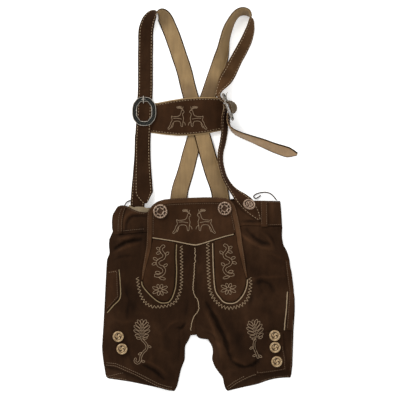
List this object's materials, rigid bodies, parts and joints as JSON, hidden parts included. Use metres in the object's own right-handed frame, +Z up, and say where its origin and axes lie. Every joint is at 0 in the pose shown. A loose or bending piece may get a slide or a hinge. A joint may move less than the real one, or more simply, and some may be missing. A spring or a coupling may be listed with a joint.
{
  "type": "lederhosen",
  "caption": "Child's dark brown suede lederhosen laid flat, with a drop front, leather braces, a chest band, buckles and horn buttons.",
  "frame": {"origin": "middle of the bounding box, at the table's surface", "axes": "+Z up from the table to the front of the garment, +Y from the hems to the shoulders, +X to the viewer's right"},
  "size_m": [0.333, 0.6515, 0.0411],
  "materials": {
    "suede": "dark brown suede, matte nap",
    "trim": "brown leather, matte",
    "tan": "tan lining leather, satin",
    "piping": "corded beige piping",
    "horn": "turned horn, satin",
    "bib_button": "turned horn with a pale rim, satin",
    "metal": "antiqued metal",
    "lace": "thin leather lace"
  },
  "bodies": {
    "root": {"back_panel_left": "suede", "back_panel_right": "suede", "belt_loop_left": "trim", "belt_loop_right": "trim", "bib_binding": "trim", "bib_button_left": "bib_button", "bib_button_right": "bib_button", "bib_panel": "suede", "buckle_left_prong": "metal", "buckle_left_ring": "metal", "buckle_right_prong": "metal", "buckle_right_ring": "metal", "chest_band_lining": "tan", "chest_band_suede": "suede", "flap_tongue_left": "suede", "flap_tongue_right": "suede", "front_panel_left": "suede", "front_panel_right": "suede", "lace_left": "lace", "lace_right": "lace", "leg_button_left_1": "horn", "leg_button_left_2": "horn", "leg_button_right_1": "horn", "leg_button_right_2": "horn", "leg_button_right_3": "horn", "piping_bib": "piping", "piping_centre": "piping", "piping_tongue_left": "piping", "piping_tongue_right": "piping", "placket_right": "suede", "pocket_facing_left": "trim", "pocket_facing_right": "trim", "pocket_piping_left": "piping", "pocket_piping_right": "piping", "strap_button_right": "horn", "strap_left_lining": "tan", "strap_left_suede": "suede", "strap_right_lining": "tan", "strap_right_suede": "suede", "strap_right_tail_lining": "tan", "strap_right_tail_suede": "suede", "tab_left_lining": "tan", "tab_left_suede": "suede", "tab_right_lining": "tan", "tab_right_suede": "suede", "waistband_back": "suede", "waistband_front_left": "suede", "waistband_front_right": "suede", "waistband_lining_left": "tan"}
  },
  "joints": []
}
